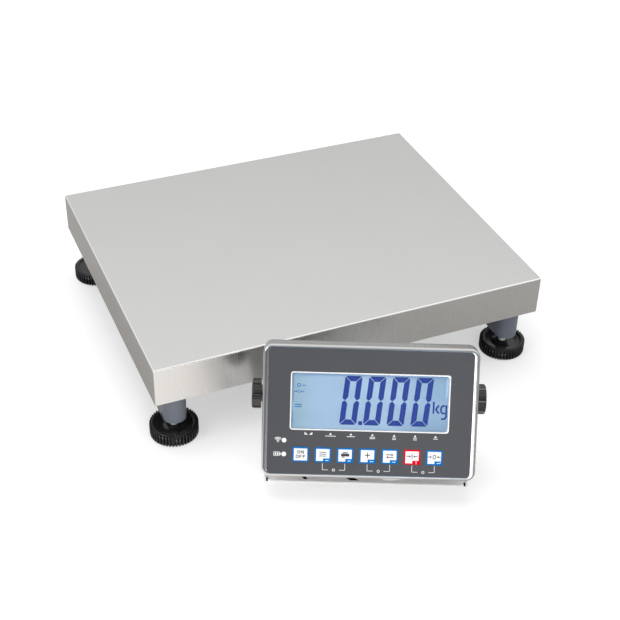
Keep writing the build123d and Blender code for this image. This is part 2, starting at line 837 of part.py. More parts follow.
with BuildPart() as lcd_module:
    with BuildSketch(face_plane.offset(-face_sheet)):
        with Locations((window_x, window_y)):
            Rectangle(lcd_width, lcd_height)
    extrude(amount=-lcd_thickness)
    chamfer(lcd_module.faces().sort_by(Axis(face_plane.origin, face_normal))[0].edges(), lcd_thickness / 5)
finish(lcd_module.part, "lcd_module")

with BuildPart() as backlight:
    with BuildSketch(face_plane.offset(-face_sheet - lcd_thickness)):
        with Locations((window_x, window_y)):
            RectangleRounded(lcd_width - lcd_thickness, lcd_height - lcd_thickness, window_corner)
    extrude(amount=-backlight_thickness)
finish(backlight.part, "backlight")

# Boards: the main board on stand-offs, the keypad board with a switch under each key
board_front = -face_sheet - standoff_length
with BuildPart() as board_standoffs:
    with BuildSketch(face_plane.offset(-face_sheet)):
        with GridLocations(
            main_board_width - 2 * standoff_inset, main_board_height - 2 * standoff_inset, 2, 2
        ):
            Circle(standoff_radius)
    extrude(amount=-standoff_length)
finish(board_standoffs.part, "board_standoffs")

with BuildPart() as main_board:
    with BuildSketch(face_plane.offset(board_front)):
        RectangleRounded(main_board_width, main_board_height, window_corner)
    extrude(amount=-board_thickness)
finish(main_board.part, "main_board")

with BuildPart() as battery_pack:
    with BuildSketch(face_plane.offset(board_front - board_thickness)):
        RectangleRounded(battery_width, battery_height, window_corner)
    extrude(amount=-battery_thickness)
    chamfer(battery_pack.faces().sort_by(Axis(face_plane.origin, face_normal))[0].edges(), board_thickness)
finish(battery_pack.part, "battery_pack")

key_board_front = -face_sheet - key_board_gap
with BuildPart() as keypad_board:
    with BuildSketch(face_plane.offset(key_board_front)):
        with Locations((key_row_x, key_row_y)):
            RectangleRounded(key_count * key_pitch, key_board_height, key_corner)
    extrude(amount=-board_thickness)
    with BuildSketch(face_plane.offset(key_board_front)):
        with Locations(*key_centres):
            RectangleRounded(switch_size, switch_size, key_corner)
    extrude(amount=switch_height)
    with BuildSketch(face_plane.offset(key_board_front)):
        with Locations((key_row_x, key_row_y)):
            with GridLocations(key_pitch, 0, key_count - 1, 1):
                Circle(standoff_radius)
    extrude(amount=key_board_gap)
finish(keypad_board.part, "keypad_board")

with BuildPart() as status_lamps:
    with BuildSketch(face_plane.offset(board_front)):
        with Locations(*lamp_centres):
            Circle(lamp_radius)
    extrude(amount=standoff_length + face_sheet - overlay_recess + overlay_sheet)
finish(status_lamps.part, "status_lamps")

# Keys: a cap in the overlay's cut-out and a stem that ends just over its switch
key_names = ("on_off", "gross", "print", "add", "recall", "tare", "zero")
cap_back = -overlay_recess + overlay_sheet
stem_end = key_board_front + switch_height + key_travel + switch_gap
for key_name, key_centre in zip(key_names, key_centres):
    with BuildPart() as key:
        with BuildSketch(face_plane.offset(cap_back)):
            with Locations(key_centre):
                RectangleRounded(key_width, key_height, key_corner)
        extrude(amount=key_proud)
        chamfer(key.faces().sort_by(Axis(face_plane.origin, face_normal))[-1].edges(), key_proud / 3)
        with BuildSketch(face_plane.offset(cap_back)):
            with Locations(key_centre):
                Rectangle(key_stem, key_stem)
        extrude(amount=stem_end - cap_back)
    finish(key.part, f"key_{key_name}")

# Tilt clamp on each side: bush in the cover, friction washer, arm, washer, knob on its stud
cover_side = cover_width / 2
washer_start = stand_width / 2 + clamp_gap
knob_start = washer_start + knob_washer_thickness + clamp_gap
stud_start = cover_side - knob_stud_inside

with BuildPart() as pivot_bushes:
    for _, sx in sides():
        with BuildSketch(beside(head_plane, sx * cover_side)):
            Circle(bush_radius - thread_gap)
            Circle(knob_stud_radius + thread_gap, mode=Mode.SUBTRACT)
        extrude(amount=-sx * bush_length)
finish(pivot_bushes.part, "pivot_bushes")

with BuildPart() as friction_washers:
    for _, sx in sides():
        with BuildSketch(beside(head_plane, sx * cover_side)):
            Circle(friction_washer_radius)
            Circle(knob_stud_radius + arm_bore_gap, mode=Mode.SUBTRACT)
        extrude(amount=sx * friction_washer_thickness)
finish(friction_washers.part, "friction_washers")

with BuildPart() as knob_washers:
    for _, sx in sides():
        with BuildSketch(beside(head_plane, sx * washer_start)):
            Circle(knob_washer_radius)
            Circle(knob_stud_radius + arm_bore_gap, mode=Mode.SUBTRACT)
        extrude(amount=sx * knob_washer_thickness)
finish(knob_washers.part, "knob_washers")

for side, sx in sides():
    with BuildPart() as knob_stud:
        with BuildSketch(beside(head_plane, sx * stud_start)):
            Circle(knob_stud_radius)
        extrude(amount=sx * knob_stud_length)
    finish(knob_stud.part, f"knob_stud_{side}")

    with BuildPart() as knob:
        with BuildSketch(beside(head_plane, sx * knob_start)):
            Circle(knob_collar_radius)
        extrude(amount=sx * knob_collar_length)
        lobe_plane = beside(head_plane, sx * (knob_start + knob_collar_length))
        with BuildSketch(lobe_plane):
            Circle(knob_radius)
        extrude(amount=sx * knob_thickness)
        outer_face = knob.faces().sort_by(Axis(head_plane.origin, across))[-1 if sx > 0 else 0]
        fillet(outer_face.edges(), knob_crown)
        with BuildSketch(lobe_plane):
            with PolarLocations(knob_radius + knob_scallop_offset, knob_lobes):
                Circle(knob_scallop_radius)
        extrude(amount=sx * knob_thickness, mode=Mode.SUBTRACT)
        with BuildSketch(beside(head_plane, sx * knob_start)):
            Circle(knob_stud_radius + thread_gap)
        extrude(amount=sx * (stud_start + knob_stud_length - knob_start), mode=Mode.SUBTRACT)
    finish(knob.part, f"knob_{side}")
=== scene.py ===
import json
import math

import bmesh
import bpy
from mathutils import Matrix, Vector


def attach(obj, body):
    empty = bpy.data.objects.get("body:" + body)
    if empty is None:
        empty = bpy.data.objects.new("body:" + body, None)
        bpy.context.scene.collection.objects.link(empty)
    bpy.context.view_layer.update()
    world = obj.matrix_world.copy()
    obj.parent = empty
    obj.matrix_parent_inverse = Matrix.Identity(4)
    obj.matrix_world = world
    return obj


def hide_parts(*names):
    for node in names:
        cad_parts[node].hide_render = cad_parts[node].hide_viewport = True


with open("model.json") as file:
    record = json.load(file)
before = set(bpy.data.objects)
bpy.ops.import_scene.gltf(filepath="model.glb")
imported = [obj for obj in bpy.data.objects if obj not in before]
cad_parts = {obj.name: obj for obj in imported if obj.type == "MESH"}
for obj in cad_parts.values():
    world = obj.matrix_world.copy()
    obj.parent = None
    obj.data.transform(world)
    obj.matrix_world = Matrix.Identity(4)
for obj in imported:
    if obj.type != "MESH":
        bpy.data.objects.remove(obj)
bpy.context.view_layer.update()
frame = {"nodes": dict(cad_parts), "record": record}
nodes = frame["nodes"]
keyNames = ["on_off", "gross", "print", "add", "recall", "tare", "zero"]
mm = 0.001


# Node trees

class Wire:
    # A node's socket that takes part in Python sums
    def __init__(self, tree, socket):
        self.tree = tree
        self.socket = socket

    def math(self, operation, *values):
        sockets = dict(enumerate(values))
        return self.tree.add("ShaderNodeMath", {"operation": operation}, sockets)

    def __add__(self, other):
        return self.math("ADD", self, other)

    def __radd__(self, other):
        return self.math("ADD", other, self)

    def __sub__(self, other):
        return self.math("SUBTRACT", self, other)

    def __rsub__(self, other):
        return self.math("SUBTRACT", other, self)

    def __mul__(self, other):
        return self.math("MULTIPLY", self, other)

    def __truediv__(self, other):
        return self.math("DIVIDE", self, other)

    def __gt__(self, other):
        return self.math("GREATER_THAN", self, other)

    def __lt__(self, other):
        return self.math("LESS_THAN", self, other)


class Tree:
    # A node tree; add() makes any node, its settings first and then its sockets
    def __init__(self, tree, family):
        self.tree = tree
        self.family = family

    def add(self, kind, settings=None, sockets=None, out=0):
        node = self.tree.nodes.new(kind if "Node" in kind else self.family + kind)
        for key, value in (settings or {}).items():
            setattr(node, key, value)
        for key, value in (sockets or {}).items():
            self.feed(node.inputs[key], value)
        return Wire(self, node.outputs[out])

    def feed(self, socket, value):
        if isinstance(value, Wire):
            self.tree.links.new(value.socket, socket)
        elif isinstance(value, list):
            for wire in value:
                self.tree.links.new(wire.socket, socket)
        elif socket.type == "RGBA" and len(value) == 3:
            socket.default_value = (*value, 1)
        else:
            socket.default_value = value


class Finish(Tree):
    # One material, or the world, with the patterns that the finishes share
    def __init__(self, name, tree=None):
        if tree is None:
            self.material = bpy.data.materials.new(name)
            self.material.use_nodes = True
            tree = self.material.node_tree
        super().__init__(tree, "ShaderNode")
        self.shader = next((n for n in tree.nodes if n.type == "BSDF_PRINCIPLED"), None)

    def set(self, **sockets):
        for key, value in sockets.items():
            self.feed(self.shader.inputs[key.replace("_", " ")], value)

    def place(self, size=(1, 1, 1), turn=(0, 0, 0), middle=(0, 0, 0)):
        # A pattern whose unit is size metres along each of the turned axes
        spot = self.add("TexCoord", out="Object")
        sockets = {"Vector": spot, "Location": middle, "Rotation": turn, "Scale": size}
        return self.add("Mapping", {"vector_type": "TEXTURE"}, sockets)

    def noise(self, size, detail, turn=(0, 0, 0), rough=0.5):
        vector = self.place(size if isinstance(size, tuple) else (size,) * 3, turn)
        sockets = {"Vector": vector, "Scale": 1.0, "Detail": detail, "Roughness": rough}
        return self.add("TexNoise", None, sockets)

    def slope(self, value, start, end, low=0.0, high=1.0):
        sockets = {"Value": value, "From Min": start, "From Max": end, "To Min": low, "To Max": high}
        return self.add("MapRange", {"interpolation_type": "SMOOTHSTEP"}, sockets)

    def part(self, vector, axis):
        return self.add("SeparateXYZ", None, {0: vector}, axis)

    def mix(self, factor, a, b):
        settings = {"data_type": "RGBA"}
        return self.add("Mix", settings, {"Factor": factor, 6: a, 7: b}, out=2)

    def bump(self, height, strength, distance):
        return self.add("Bump", None, {"Height": height, "Strength": strength, "Distance": distance})


# Camera and studio

camera = {
    # Fitted to the photo: place in metres, lens and sensor in millimetres
    "place": (-0.52550, -1.25138, 0.88609),
    "right": (0.91973, -0.39176, 0.02488),
    "up": (0.21470, 0.55508, 0.80361),
    "lens": 72.87,
    "sensor": 36,
    "shift": (-0.0098, -0.0013),
    "clip": (0.05, 60),
}
studio = {
    "floorHeight": -0.119,
    "floorSize": 30.0,
    "floorTone": 0.57,
    # The floor's own light: its level near the scale, and where it rises to full white
    "floorLift": 0.50,
    "floorFade": (1.0, 3.0),
    "ambient": 0.55,
    # What polished metal sees: a room that is dim round one direction, as cosines from it
    "roomAhead": (-0.40, -0.88, 0.26),
    "roomSpread": (0.30, 0.95),
    "roomDim": 0.60,
    # its wall, brighter upwards: foot, top, level at each
    "wallRise": (0.35, 0.68, 0.64, 1.15),
    # and a warm floor: across it from x to x with the level at each, beside it from y to y
    "floorGlow": 0.2,
    "floorWarm": (1.0, 0.965, 0.93),
    "floorAcross": (-0.24, 0.16, 1.48, 0.64),
    "floorSide": (-0.27, -0.15, 0.58),
    "lamps": [
        # name, place, aim, size, watts, whether polished metal shows it
        ("topLamp", (-0.15, 0.4, 2.3), (0, 0, 0), 2.2, 34, False),
        ("leftLamp", (-2.2, -0.8, 1.3), (0, 0, 0), 1.2, 14, True),
        ("frontLamp", (0.3, -2.4, 1.2), (0, -0.2, -0.05), 1.4, 7, False),
        ("lowLamp", (-0.4, -2.0, 0.20), (-0.05, -0.33, -0.12), 0.8, 7, True),
    ],
}


def makeCamera():
    right, up = Vector(camera["right"]), Vector(camera["up"])
    turn = Matrix((right, up, right.cross(up))).transposed()
    data = bpy.data.cameras.new("photoCamera")
    data.lens = camera["lens"]
    data.sensor_width = camera["sensor"]
    data.shift_x, data.shift_y = camera["shift"]
    data.clip_start, data.clip_end = camera["clip"]
    obj = bpy.data.objects.new("photoCamera", data)
    obj.matrix_world = Matrix.Translation(camera["place"]) @ turn.to_4x4()
    bpy.context.scene.collection.objects.link(obj)
    bpy.context.scene.camera = obj


def makeFloor():
    bpy.ops.mesh.primitive_plane_add(size=studio["floorSize"])
    floor = bpy.context.object
    floor.name = "floor"
    floor.data.transform(Matrix.Translation((0, 0, studio["floorHeight"])))
    finish = Finish("paleFloor")
    seen, shiny, clear = (
        finish.add("LightPath", out=f"Is {kind} Ray") for kind in ("Camera", "Glossy", "Transmission")
    )
    spot = finish.place()
    left, right, bright, dull = studio["floorAcross"]
    start, end, side = studio["floorSide"]
    ahead = finish.slope(finish.part(spot, "X"), left, right, bright, dull)
    beside = finish.slope(finish.part(spot, "Y"), start, end)
    mirrored = ahead * (1 - beside) + beside * side
    level = 1 + shiny * (mirrored - 1)
    tint = finish.mix(shiny, (1, 1, 1), studio["floorWarm"])
    sockets = {0: tint, "Scale": level * studio["floorTone"]}
    shade = finish.add("VectorMath", {"operation": "SCALE"}, sockets)
    finish.set(Base_Color=shade, Roughness=0.9, Emission_Color=tint, Specular_IOR_Level=0.0)
    away = finish.add("VectorMath", {"operation": "LENGTH"}, {0: spot}, "Value")
    far = finish.slope(away, *studio["floorFade"], studio["floorLift"], 1.0)
    lift = seen * far + (shiny * level + clear) * studio["floorGlow"]
    finish.tree.links.new(lift.socket, finish.shader.inputs["Emission Strength"])
    floor.data.materials.append(finish.material)


def makeSky():
    world = bpy.data.worlds.new("paleStudio")
    bpy.context.scene.world = world
    world.use_nodes = True
    sky = Finish("paleStudio", world.node_tree)
    back = next(n for n in world.node_tree.nodes if n.type == "BACKGROUND")
    seen, shiny, clear = (
        sky.add("LightPath", out=f"Is {kind} Ray") for kind in ("Camera", "Glossy", "Transmission")
    )
    heading = sky.add("TexCoord", out="Generated")
    facing = Vector(studio["roomAhead"]).normalized()
    toRoom = sky.add("VectorMath", {"operation": "DOT_PRODUCT"}, {0: heading, 1: facing}, "Value")
    dim = sky.slope(toRoom, *studio["roomSpread"], 0.0, studio["roomDim"])
    white = seen + shiny + clear
    rise = sky.slope(sky.part(heading, "Z"), *studio["wallRise"])
    level = studio["ambient"] + white * (1 - studio["ambient"]) - shiny * dim
    level = level * (1 + shiny * (rise - 1))
    back.inputs["Color"].default_value = (1, 1, 1, 1)
    world.node_tree.links.new(level.socket, back.inputs["Strength"])


def makeLamps():
    for name, place, aim, size, watts, mirrored in studio["lamps"]:
        data = bpy.data.lights.new(name, "AREA")
        data.shape = "DISK"
        data.size = size
        data.energy = watts
        lamp = bpy.data.objects.new(name, data)
        lamp.visible_glossy = mirrored
        away = Vector(place) - Vector(aim)
        lamp.matrix_world = Matrix.Translation(place) @ away.to_track_quat("Z", "Y").to_matrix().to_4x4()
        bpy.context.scene.collection.objects.link(lamp)


bpy.context.scene.view_settings.view_transform = "Standard"
makeCamera()
makeFloor()
makeSky()
makeLamps()
print("stage: camera and studio")


# Placing on the indicator's face

indicator = {
    # Millimetres and degrees; the face's middle lies up and out from the tilt's pivot
    "pivot": (-27.4, -291.5, -31.7),
    "yaw": -23.8,
    "tilt": 27.8,
    "faceUp": -9.15,
    "faceOut": 45.0,
}


def faceMatrix():
    yaw, tilt = math.radians(indicator["yaw"]), math.radians(indicator["tilt"])
    across = Vector((math.cos(yaw), math.sin(yaw), 0))
    normal = Vector((math.cos(tilt) * math.sin(yaw), -math.cos(tilt) * math.cos(yaw), math.sin(tilt)))
    up = normal.cross(across)
    centre = Vector(indicator["pivot"]) + up * indicator["faceUp"] + normal * indicator["faceOut"]
    turn = Matrix((across, up, normal)).transposed().to_4x4()
    return Matrix.Translation(centre * mm) @ turn


onFace = faceMatrix()


# Finishes: patterns and bump distances in metres, uneven for how far the roughness strays

foldHighlight = {
    # Where the bends begin on the plate, and the tone of the painted highlight along them
    "x": 0.2484,
    "y": 0.1984,
    "z": -0.0017,
    "tone": (0.93, 0.93, 0.92),
}
brushed = {
    "fine": 0.0005,
    "broad": 0.004,
    "cloud": 0.11,
    "shares": (0.40, 0.20, 0.40),
    "uneven": 0.7,
    "bump": (0.008, 0.0001),
}
painted = {
    "peel": 0.003,
    "cloud": 0.05,
    "contrast": 0.10,
    "uneven": 0.10,
    "coat": 0.5,
    "bump": (0.12, 0.0001),
}
moulded = {"cloud": 0.03, "contrast": 0.06, "uneven": 0.12, "bump": (0.10, 0.00004)}
plain = {"marks": 0.004, "darker": 0.9, "uneven": 0.15, "bump": (0.08, 0.0001)}
pane = {
    "tone": (0.75, 0.85, 1.0),
    "cloud": 0.05,
    "rough": (0.10, 0.04),
    "haze": (0.03, 0.01),
    "shine": 0.25,
}
board = {
    "tracks": 0.0025,
    "width": 0.06,
    "ground": (0.01, 0.09, 0.04),
    "track": (0.05, 0.22, 0.10),
    "rough": 0.4,
}
displayLight = {
    # Face coordinates in millimetres between which each shade comes in
    "left": (-88.0, -82.0),
    "top": (43.5, 37.5),
    "sweep": (-80.0, 80.0),
    "glow": (-84.0, -52.0, 20.0, 78.0),
    "near": (0.350, 0.520, 0.620),
    "far": (0.285, 0.455, 0.635),
    "pale": (0.430, 0.600, 0.770),
    "shadow": (0.18, 0.34, 0.56),
    "cloud": 0.06,
    "shares": (0.8, 0.2),
    "rough": (0.35, 0.05),
    "strength": 0.22,
    "shine": 0.2,
}


def twoTones(tone, contrast):
    return [tuple(min(1, t * (1 + way * contrast)) for t in tone) for way in (-1, 1)]


def foldHighlightMask(finish):
    # The top's edges, where the sheet bends: where the painted highlight goes
    spot = finish.place()
    x, y, z = (finish.part(spot, axis) for axis in ("X", "Y", "Z"))
    sides = (x.math("ABSOLUTE", x) > foldHighlight["x"]) + (y.math("ABSOLUTE", y) > foldHighlight["y"])
    return sides.math("MINIMUM", sides, 1.0) * (z > foldHighlight["z"])


def brushedSteel(name, tone, grain, rough, turn=(0, 0, 0), metallic=1.0, contrast=0.08, paintedFoldHighlight=False):
    # Lines along the grain at two widths, under a cloud of handling marks
    finish = Finish(name)
    fine = finish.noise(tuple(g * brushed["fine"] for g in grain), 3, turn, 0.6)
    broad = finish.noise(tuple(g * brushed["broad"] for g in grain), 3, turn, 0.6)
    cloud = finish.noise(brushed["cloud"], 2)
    ofFine, ofBroad, ofCloud = brushed["shares"]
    colour = finish.mix(fine * ofFine + broad * ofBroad + cloud * ofCloud, *twoTones(tone, contrast))
    if paintedFoldHighlight:
        # Painted highlight: the top's folded edges are given a light tone
        colour = finish.mix(foldHighlightMask(finish), colour, foldHighlight["tone"])
    finish.set(Base_Color=colour, Metallic=metallic)
    finish.set(Roughness=rough + (broad - 0.5) * contrast * brushed["uneven"])
    finish.set(Normal=finish.bump(fine, *brushed["bump"]))
    return finish.material


def paintedMetal(name, tone, rough):
    finish = Finish(name)
    peel = finish.noise(painted["peel"], 2)
    cloud = finish.noise(painted["cloud"], 3)
    finish.set(Base_Color=finish.mix(cloud, *twoTones(tone, painted["contrast"])))
    finish.set(Roughness=rough + (cloud - 0.5) * painted["uneven"], Coat_Weight=painted["coat"])
    finish.set(Normal=finish.bump(peel, *painted["bump"]))
    return finish.material


def mouldedPlastic(name, tone, rough=0.45, grain=0.0006, shine=0.5):
    finish = Finish(name)
    skin = finish.noise(grain, 3)
    cloud = finish.noise(moulded["cloud"], 2)
    finish.set(Base_Color=finish.mix(cloud, *twoTones(tone, moulded["contrast"])))
    finish.set(Roughness=rough + (skin - 0.5) * moulded["uneven"], Specular_IOR_Level=shine)
    finish.set(Normal=finish.bump(skin, *moulded["bump"]))
    return finish.material


def plainMetal(name, tone, rough=0.3, metallic=1.0):
    finish = Finish(name)
    marks = finish.noise(plain["marks"], 4)
    finish.set(Base_Color=finish.mix(marks, tuple(t * plain["darker"] for t in tone), tone))
    finish.set(Metallic=metallic, Roughness=rough + (marks - 0.5) * plain["uneven"])
    finish.set(Normal=finish.bump(marks, *plain["bump"]))
    return finish.material


def clearPane(name):
    finish = Finish(name)
    cloud = finish.noise(pane["cloud"], 2)
    rough, haze = (pane[key][0] + cloud * pane[key][1] for key in ("rough", "haze"))
    finish.set(Base_Color=pane["tone"], Roughness=rough, Alpha=haze, Specular_IOR_Level=pane["shine"])
    return finish.material


def litDisplay(name):
    # Pale blue, with the bezel's soft shadow down its left and top edges
    finish = Finish(name)
    face = onFace.to_euler()
    spot = finish.place((mm, mm, mm), tuple(face), tuple(onFace.translation))
    across, height = finish.part(spot, "X"), finish.part(spot, "Y")
    left = finish.slope(across, *displayLight["left"])
    top = finish.slope(height, *displayLight["top"])
    cloud = finish.noise(displayLight["cloud"], 2)
    lit = finish.mix(finish.slope(across, *displayLight["sweep"]), displayLight["near"], displayLight["far"])
    rise = finish.slope(across, *displayLight["glow"][:2])
    fall = finish.slope(across, *displayLight["glow"][2:], 1.0, 0.0)
    ofGlow, ofCloud = displayLight["shares"]
    lit = finish.mix(rise * fall * ofGlow + cloud * ofCloud, lit, displayLight["pale"])
    shaded = finish.mix(left * top, displayLight["shadow"], lit)
    rough, uneven = displayLight["rough"]
    finish.set(Base_Color=shaded, Roughness=rough + cloud * uneven, Emission_Color=shaded)
    finish.set(Emission_Strength=displayLight["strength"], Specular_IOR_Level=displayLight["shine"])
    return finish.material


def circuitBoard(name):
    finish = Finish(name)
    spot = finish.place((board["tracks"],) * 3)
    tracks = finish.add("TexVoronoi", {"feature": "DISTANCE_TO_EDGE"}, {"Vector": spot, "Scale": 1.0})
    colour = finish.mix(tracks < board["width"], board["ground"], board["track"])
    finish.set(Base_Color=colour, Roughness=board["rough"])
    return finish.material


housingTurn = (0, 0, math.radians(indicator["yaw"]))
finishes = {
    # The plate's steel carries the painted highlight along its folds
    "plateSteel": brushedSteel(
        "plateSteel", (0.630, 0.628, 0.620), grain=(1, 80, 80), rough=0.27, contrast=0.05, paintedFoldHighlight=True
    ),
    "housingSteel": brushedSteel(
        "housingSteel", (0.60, 0.60, 0.60), grain=(80, 1, 1), rough=0.15, turn=housingTurn
    ),
    # Painted light: a lighter, mostly non-metal copy of the housing's steel, so the stand's strip in the
    # head's shadow shows bright
    "standSteel": brushedSteel(
        "standSteel", (0.96, 0.96, 0.97), grain=(80, 1, 1), rough=0.24, turn=housingTurn, metallic=0.2
    ),
    "foldShade": plainMetal("foldShade", (0.13, 0.17, 0.22)),
    "framePaint": paintedMetal("framePaint", (0.118, 0.138, 0.180), rough=0.22),
    "zinc": plainMetal("zincPlate", (0.80, 0.80, 0.79), rough=0.32, metallic=0.55),
    "fastener": plainMetal("fastenerSteel", (0.52, 0.52, 0.53)),
    "footBlack": mouldedPlastic("footBlack", (0.012, 0.012, 0.013), rough=0.24),
    "knobBlack": mouldedPlastic("knobBlack", (0.008, 0.008, 0.009), rough=0.15, shine=0.75),
    "rubber": mouldedPlastic("blackRubber", (0.018, 0.018, 0.018), rough=0.75, grain=0.0004),
    # Near-black for the painted shadow in the stand's openings
    "slotShade": mouldedPlastic("padRubber", (0.006, 0.006, 0.007), rough=0.8, grain=0.0004, shine=0.1),
    "cell": plainMetal("cellAluminium", (0.78, 0.79, 0.80), rough=0.35),
    "overlay": mouldedPlastic("overlayGrey", (0.076, 0.078, 0.086), rough=0.42, grain=0.0004, shine=0.2),
    "pane": clearPane("displayPane"),
    "display": litDisplay("litDisplay"),
    "backlight": mouldedPlastic("backlightWhite", (0.8, 0.84, 0.9)),
    "board": circuitBoard("circuitBoard"),
    "battery": mouldedPlastic("batteryWrap", (0.03, 0.03, 0.035), rough=0.6),
    "lamp": mouldedPlastic("lampLens", (0.90, 0.90, 0.90), rough=0.25),
    "keyBlue": mouldedPlastic("keyBlue", (0.0, 0.175, 0.560), rough=0.5, grain=0.0004, shine=0.0),
    "keyRed": mouldedPlastic("keyRed", (0.78, 0.0, 0.02), rough=0.5, grain=0.0004, shine=0.0),
    "printWhite": mouldedPlastic("printWhite", (0.93, 0.93, 0.93), rough=0.5, grain=0.0004, shine=0.2),
    "printDark": mouldedPlastic("printDark", (0.045, 0.045, 0.05), rough=0.5, grain=0.0004, shine=0.2),
    "digitBlue": mouldedPlastic("digitBlue", (0.0, 0.030, 0.270), rough=0.5, shine=0.1),
    "digitFaint": mouldedPlastic("digitFaint", (0.05, 0.20, 0.48), rough=0.5, shine=0.1),
    "levelMetal": plainMetal("levelMetal", (0.70, 0.70, 0.72)),
    "levelFluid": mouldedPlastic("levelFluid", (0.45, 0.60, 0.06), rough=0.1),
    "nylon": mouldedPlastic("glandNylon", (0.03, 0.03, 0.032), rough=0.5),
    "brass": plainMetal("turnedBrass", (0.75, 0.60, 0.30)),
}
slotFinish = {
    "frame_paint": "framePaint",
    "zinc": "zinc",
    "fastener": "fastener",
    "foot_black": "footBlack",
    "black_rubber": "rubber",
    "black_plastic": "knobBlack",
    "cell_aluminium": "cell",
    "level_plastic": "levelFluid",
    "level_metal": "levelMetal",
    "overlay_grey": "overlay",
    "window": "pane",
    "lcd": "display",
    "backlight_white": "backlight",
    "board_green": "board",
    "battery_grey": "battery",
    "lamp": "lamp",
    "key_blue": "keyBlue",
    "key_red": "keyRed",
    "nylon_grey": "nylon",
    "bush_brass": "brass",
    "stainless": "housingSteel",
}
# The stand takes the lighter painted-light copy of the steel
nodeFinish = {"weighing_plate": "plateSteel", "stand_bracket": "standSteel"}

for part in frame["record"]["subparts"]:
    node = nodes[part["node"]]
    chosen = nodeFinish.get(part["node"], slotFinish[part["material_slot"]])
    node.data.materials.clear()
    node.data.materials.append(finishes[chosen])
print("stage: finishes on the packed parts")


# Outlines in millimetres, and the thin pieces made from them

def rounded(x, y, width, height, radius, steps=6):
    points = []
    for sx, sy, start in ((1, 1, 0), (-1, 1, 90), (-1, -1, 180), (1, -1, 270)):
        cx, cy = x + sx * (width / 2 - radius), y + sy * (height / 2 - radius)
        for i in range(steps + 1):
            angle = math.radians(start + 90 * i / steps)
            points.append((cx + radius * math.cos(angle), cy + radius * math.sin(angle)))
    return points


def bar(x, y, width, height):
    w, h = width / 2, height / 2
    return [(x - w, y - h), (x + w, y - h), (x + w, y + h), (x - w, y + h)]


def arrow(x, y, length, way, head=1.1, shaft=0.28):
    # way is the arrow's heading in degrees
    half, neck, barb = length / 2, length / 2 - head, head * 0.75
    shape = [(-half, -shaft), (neck, -shaft), (neck, -barb), (half, 0)]
    shape += [(neck, barb), (neck, shaft), (-half, shaft)]
    c, s = math.cos(math.radians(way)), math.sin(math.radians(way))
    return [(x + px * c - py * s, y + px * s + py * c) for px, py in shape]


def ribbon(points, width):
    # The outline of a stroke of one width along a few points
    ways = [(Vector(b) - Vector(a)).normalized() for a, b in zip(points, points[1:])]
    near, far = [], []
    for i, (x, y) in enumerate(points):
        before, after = ways[max(i - 1, 0)], ways[min(i, len(ways) - 1)]
        side = Vector((-(before + after).y, (before + after).x)).normalized()
        reach = width / 2 / max(0.5, side.dot(Vector((-after.y, after.x))))
        near.append((x + side.x * reach, y + side.y * reach))
        far.append((x - side.x * reach, y - side.y * reach))
    return near + far[::-1]


def drawn(marks, x=0, y=0):
    # Outlines from a table whose rows give a shape, its middle and its other sizes
    shapes = {"bar": bar, "round": rounded, "arrow": arrow}
    return [shapes[kind](x + dx, y + dy, *sizes) for kind, dx, dy, *sizes in marks]


def asMesh(obj, name, matrix):
    # Turns a curve into a plain mesh at its place
    bpy.context.view_layer.update()
    evaluated = obj.evaluated_get(bpy.context.evaluated_depsgraph_get())
    mesh = bpy.data.meshes.new_from_object(evaluated)
    mesh.transform(matrix)
    made = bpy.data.objects.new(name, mesh)
    bpy.context.scene.collection.objects.link(made)
    bpy.data.objects.remove(obj)
    work = bmesh.new()
    work.from_mesh(mesh)
    bmesh.ops.remove_doubles(work, verts=work.verts, dist=1e-6)
    work.to_mesh(mesh)
    work.free()
    return made


def inlay(name, outlines, depth, thickness):
    # A thin flat piece on the face from closed outlines, holes by overlap
    curve = bpy.data.curves.new(name, "CURVE")
    curve.dimensions = "2D"
    curve.fill_mode = "BOTH"
    curve.extrude = thickness / 2
    for outline in outlines:
        spline = curve.splines.new("POLY")
        spline.points.add(len(outline) - 1)
        for point, (x, y) in zip(spline.points, outline):
            point.co = (x, y, 0, 1)
        spline.use_cyclic_u = True
    obj = bpy.data.objects.new(name + "Line", curve)
    bpy.context.scene.collection.objects.link(obj)
    lift = Matrix.Translation((0, 0, depth + thickness / 2))
    return asMesh(obj, name, onFace @ Matrix.Scale(mm, 4) @ lift)


def fromWork(name, work, matrix=None):
    mesh = bpy.data.meshes.new(name)
    work.to_mesh(mesh)
    work.free()
    if matrix is not None:
        mesh.transform(matrix)
    made = bpy.data.objects.new(name, mesh)
    bpy.context.scene.collection.objects.link(made)
    return made


def join(name, pieces):
    whole = bmesh.new()
    for piece in pieces:
        whole.from_mesh(piece.data)
        bpy.data.objects.remove(piece)
    return fromWork(name, whole)


def finishPiece(obj, body, material):
    obj.data.materials.clear()
    obj.data.materials.append(finishes[material])
    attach(obj, body)


# Pieces that repeat or follow a path

